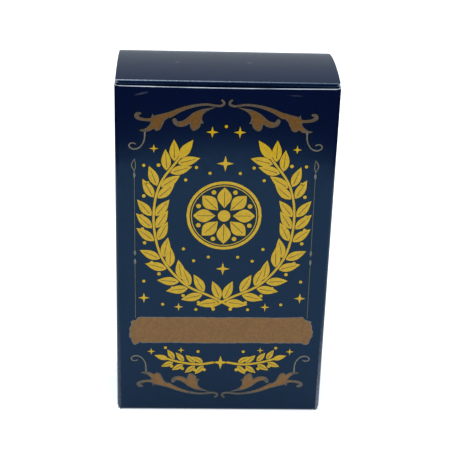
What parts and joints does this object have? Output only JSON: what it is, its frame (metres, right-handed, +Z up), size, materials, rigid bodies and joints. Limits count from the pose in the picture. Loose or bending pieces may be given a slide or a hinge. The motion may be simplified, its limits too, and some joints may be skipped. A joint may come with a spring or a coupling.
{
  "type": "tarot card deck",
  "caption": "Tarot card deck in a standing printed tuck-end carton: hinged lid and base with tuck and dust flaps, holding a full pack of round-cornered cards.",
  "frame": {"origin": "centre of the carton's footprint, on the surface that it stands on", "axes": "+Z up to the lid, -Y out of the printed front panel, +X to the right seen from the front"},
  "size_m": [0.073, 0.0364, 0.1255],
  "materials": {
    "printed_board": "offset-printed dark blue folding boxboard under gloss laminate",
    "bare_board": "uncoated white folding boxboard",
    "card_stock": "coated white playing card stock"
  },
  "bodies": {
    "carton": {"front_panel": "printed_board", "back_panel": "printed_board", "left_side_panel": "printed_board", "right_side_panel": "printed_board", "glue_flap": "bare_board"},
    "lid": {"lid_panel": "printed_board"},
    "lid_tuck": {"lid_tuck_flap": "printed_board"},
    "top_dust_left": {"top_dust_flap_left": "bare_board"},
    "top_dust_right": {"top_dust_flap_right": "bare_board"},
    "base": {"base_panel": "printed_board"},
    "base_tuck": {"base_tuck_flap": "printed_board"},
    "bottom_dust_left": {"bottom_dust_flap_left": "bare_board"},
    "bottom_dust_right": {"bottom_dust_flap_right": "bare_board"},
    "deck": {"card_major_00": "card_stock", "card_major_01": "card_stock", "card_major_02": "card_stock", "card_major_03": "card_stock", "card_major_04": "card_stock", "card_major_05": "card_stock", "card_major_06": "card_stock", "card_major_07": "card_stock", "card_major_08": "card_stock", "card_major_09": "card_stock", "card_major_10": "card_stock", "card_major_11": "card_stock", "card_major_12": "card_stock", "card_major_13": "card_stock", "card_major_14": "card_stock", "card_major_15": "card_stock", "card_major_16": "card_stock", "card_major_17": "card_stock", "card_major_18": "card_stock", "card_major_19": "card_stock", "card_major_20": "card_stock", "card_major_21": "card_stock", "card_wands_page": "card_stock", "card_wands_knight": "card_stock", "card_wands_queen": "card_stock", "card_wands_king": "card_stock", "card_cups_page": "card_stock", "card_cups_knight": "card_stock", "card_cups_queen": "card_stock", "card_cups_king": "card_stock", "card_swords_page": "card_stock", "card_swords_knight": "card_stock", "card_swords_queen": "card_stock", "card_swords_king": "card_stock", "card_pentacles_page": "card_stock", "card_pentacles_knight": "card_stock", "card_pentacles_queen": "card_stock", "card_pentacles_king": "card_stock", "cards_wands_ace_to_ten": "card_stock", "cards_cups_ace_to_ten": "card_stock", "cards_swords_ace_to_ten": "card_stock", "cards_pentacles_ace_to_ten": "card_stock"}
  },
  "joints": [
    {"name": "lid_hinge", "type": "hinge", "parent": "carton", "child": "lid", "pos_m": [0, 0.01672, 0.12395], "axis": [-1, 0, 0], "range_deg": [0, 150]},
    {"name": "lid_tuck_fold", "type": "hinge", "parent": "lid", "child": "lid_tuck", "pos_m": [0, -0.01621, 0.12343], "axis": [-1, 0, 0], "range_deg": [-52.5, 0]},
    {"name": "top_dust_left_fold", "type": "hinge", "parent": "carton", "child": "top_dust_left", "pos_m": [-0.0356, 0, 0.12335], "axis": [0, -1, 0], "range_deg": [0, 90]},
    {"name": "top_dust_right_fold", "type": "hinge", "parent": "carton", "child": "top_dust_right", "pos_m": [0.0356, 0, 0.12335], "axis": [0, 1, 0], "range_deg": [0, 90]},
    {"name": "base_hinge", "type": "hinge", "parent": "carton", "child": "base", "pos_m": [0, -0.01656, 0], "axis": [-1, 0, 0], "range_deg": [0, 150]},
    {"name": "base_tuck_fold", "type": "hinge", "parent": "base", "child": "base_tuck", "pos_m": [0, 0.01621, 0.00083], "axis": [-1, 0, 0], "range_deg": [-52.5, 0]},
    {"name": "bottom_dust_left_fold", "type": "hinge", "parent": "carton", "child": "bottom_dust_left", "pos_m": [-0.0356, 0, 0.0006], "axis": [0, 1, 0], "range_deg": [0, 90]},
    {"name": "bottom_dust_right_fold", "type": "hinge", "parent": "carton", "child": "bottom_dust_right", "pos_m": [0.0356, 0, 0.0006], "axis": [0, -1, 0], "range_deg": [0, 90]},
    {"name": "deck_slide", "type": "slide", "parent": "carton", "child": "deck", "axis": [0, 0, 1], "range_m": [0, 0.0012]}
  ],
  "couplings": [
    {"joint": "lid_tuck_fold", "follows": "lid_hinge", "ratio": -0.35},
    {"joint": "top_dust_left_fold", "follows": "lid_hinge", "ratio": 0.6},
    {"joint": "top_dust_right_fold", "follows": "lid_hinge", "ratio": 0.6},
    {"joint": "base_tuck_fold", "follows": "base_hinge", "ratio": -0.35},
    {"joint": "bottom_dust_left_fold", "follows": "base_hinge", "ratio": 0.6},
    {"joint": "bottom_dust_right_fold", "follows": "base_hinge", "ratio": 0.6}
  ]
}
